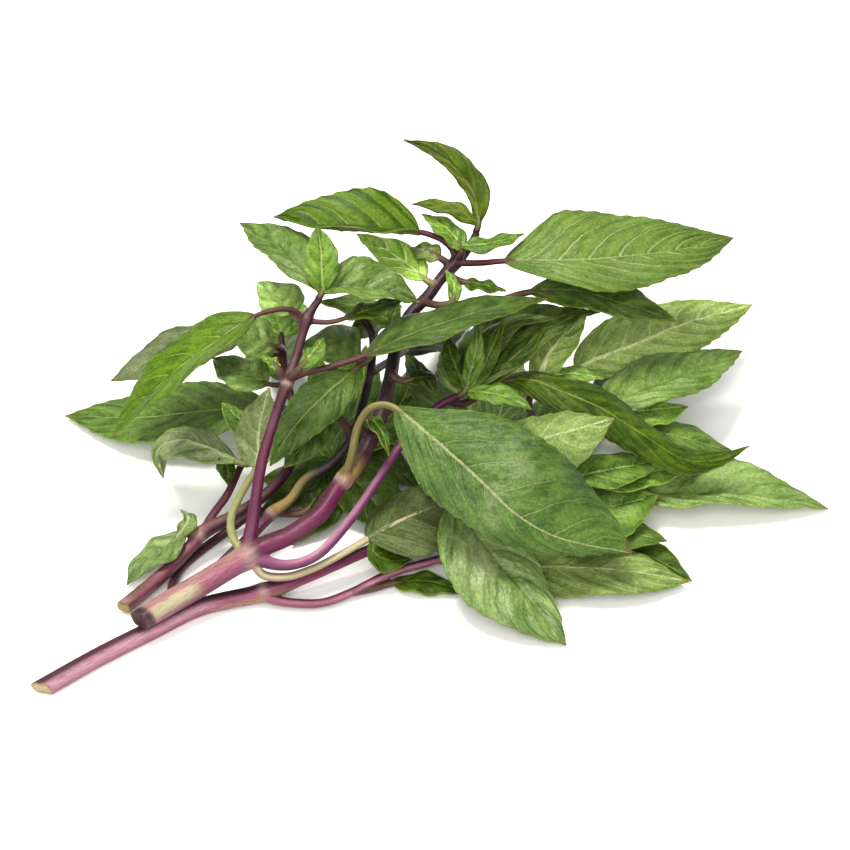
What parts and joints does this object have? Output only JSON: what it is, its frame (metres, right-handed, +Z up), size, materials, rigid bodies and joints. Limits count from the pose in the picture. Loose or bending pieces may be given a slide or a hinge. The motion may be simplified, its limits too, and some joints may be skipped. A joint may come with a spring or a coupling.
{
  "type": "cut bunch of thai basil",
  "caption": "Cut bunch of Thai basil lying flat: squarish purple stems with toothed green leaves on stalks and small young shoots.",
  "frame": {"origin": "bottom centre of the bunch's bounding box, on the surface it lies on", "axes": "+X along the bunch from the cut stem ends to the far leaf tips, +Y away from the viewer of the picture, +Z up"},
  "size_m": [0.2126, 0.1546, 0.0762],
  "materials": {
    "stem": "satin",
    "leaf": "satin",
    "young_leaf": "satin"
  },
  "bodies": {
    "root": {"stem_front": "stem", "stem_thick": "stem", "stem_left": "stem", "stem_thin": "stem", "stem_back": "stem", "leaf_front_large": "leaf", "leaf_front_low": "leaf", "leaf_low_pale": "leaf", "leaf_low_dark": "leaf", "leaf_low_small": "leaf", "leaf_low_bright": "leaf", "leaf_right_inner": "leaf", "leaf_right_long": "leaf", "leaf_right_slim": "leaf", "leaf_right_hooked": "leaf", "leaf_right_shaded": "leaf", "leaf_right_small": "leaf", "leaf_right_upper": "leaf", "leaf_right_underside": "leaf", "leaf_front_fold": "leaf", "leaf_under_front": "leaf", "leaf_shaded_low": "leaf", "leaf_top_right": "leaf", "leaf_top_right_under": "leaf", "leaf_top_left": "leaf", "leaf_top_underside": "leaf", "leaf_top_middle": "leaf", "leaf_top_dark": "leaf", "leaf_top_bud": "leaf", "leaf_top_light": "young_leaf", "leaf_middle_long": "leaf", "leaf_middle_hanging": "leaf", "leaf_middle_lower": "leaf", "leaf_left_bright": "leaf", "leaf_left_round": "leaf", "leaf_left_far": "leaf", "leaf_left_curled": "leaf", "leaf_left_pale": "leaf", "leaf_left_small": "leaf", "leaf_left_grey": "leaf", "leaf_left_inner": "leaf", "leaf_left_behind": "leaf", "leaf_node_bud": "young_leaf", "leaf_node_young": "young_leaf", "leaf_shoot_side": "leaf", "leaf_shoot_low": "leaf", "leaf_cut_end": "leaf", "leaf_inner_low": "leaf", "leaf_inner_curled": "leaf", "leaf_inner_bright": "leaf", "leaf_back_right": "leaf", "leaf_back_middle": "leaf", "leaf_back_left": "leaf", "shoot_left": "young_leaf", "shoot_top": "young_leaf", "shoot_middle": "young_leaf", "shoot_under": "leaf", "shoot_far": "leaf", "shoot_behind_left": "leaf", "shoot_upper": "leaf"}
  },
  "joints": []
}
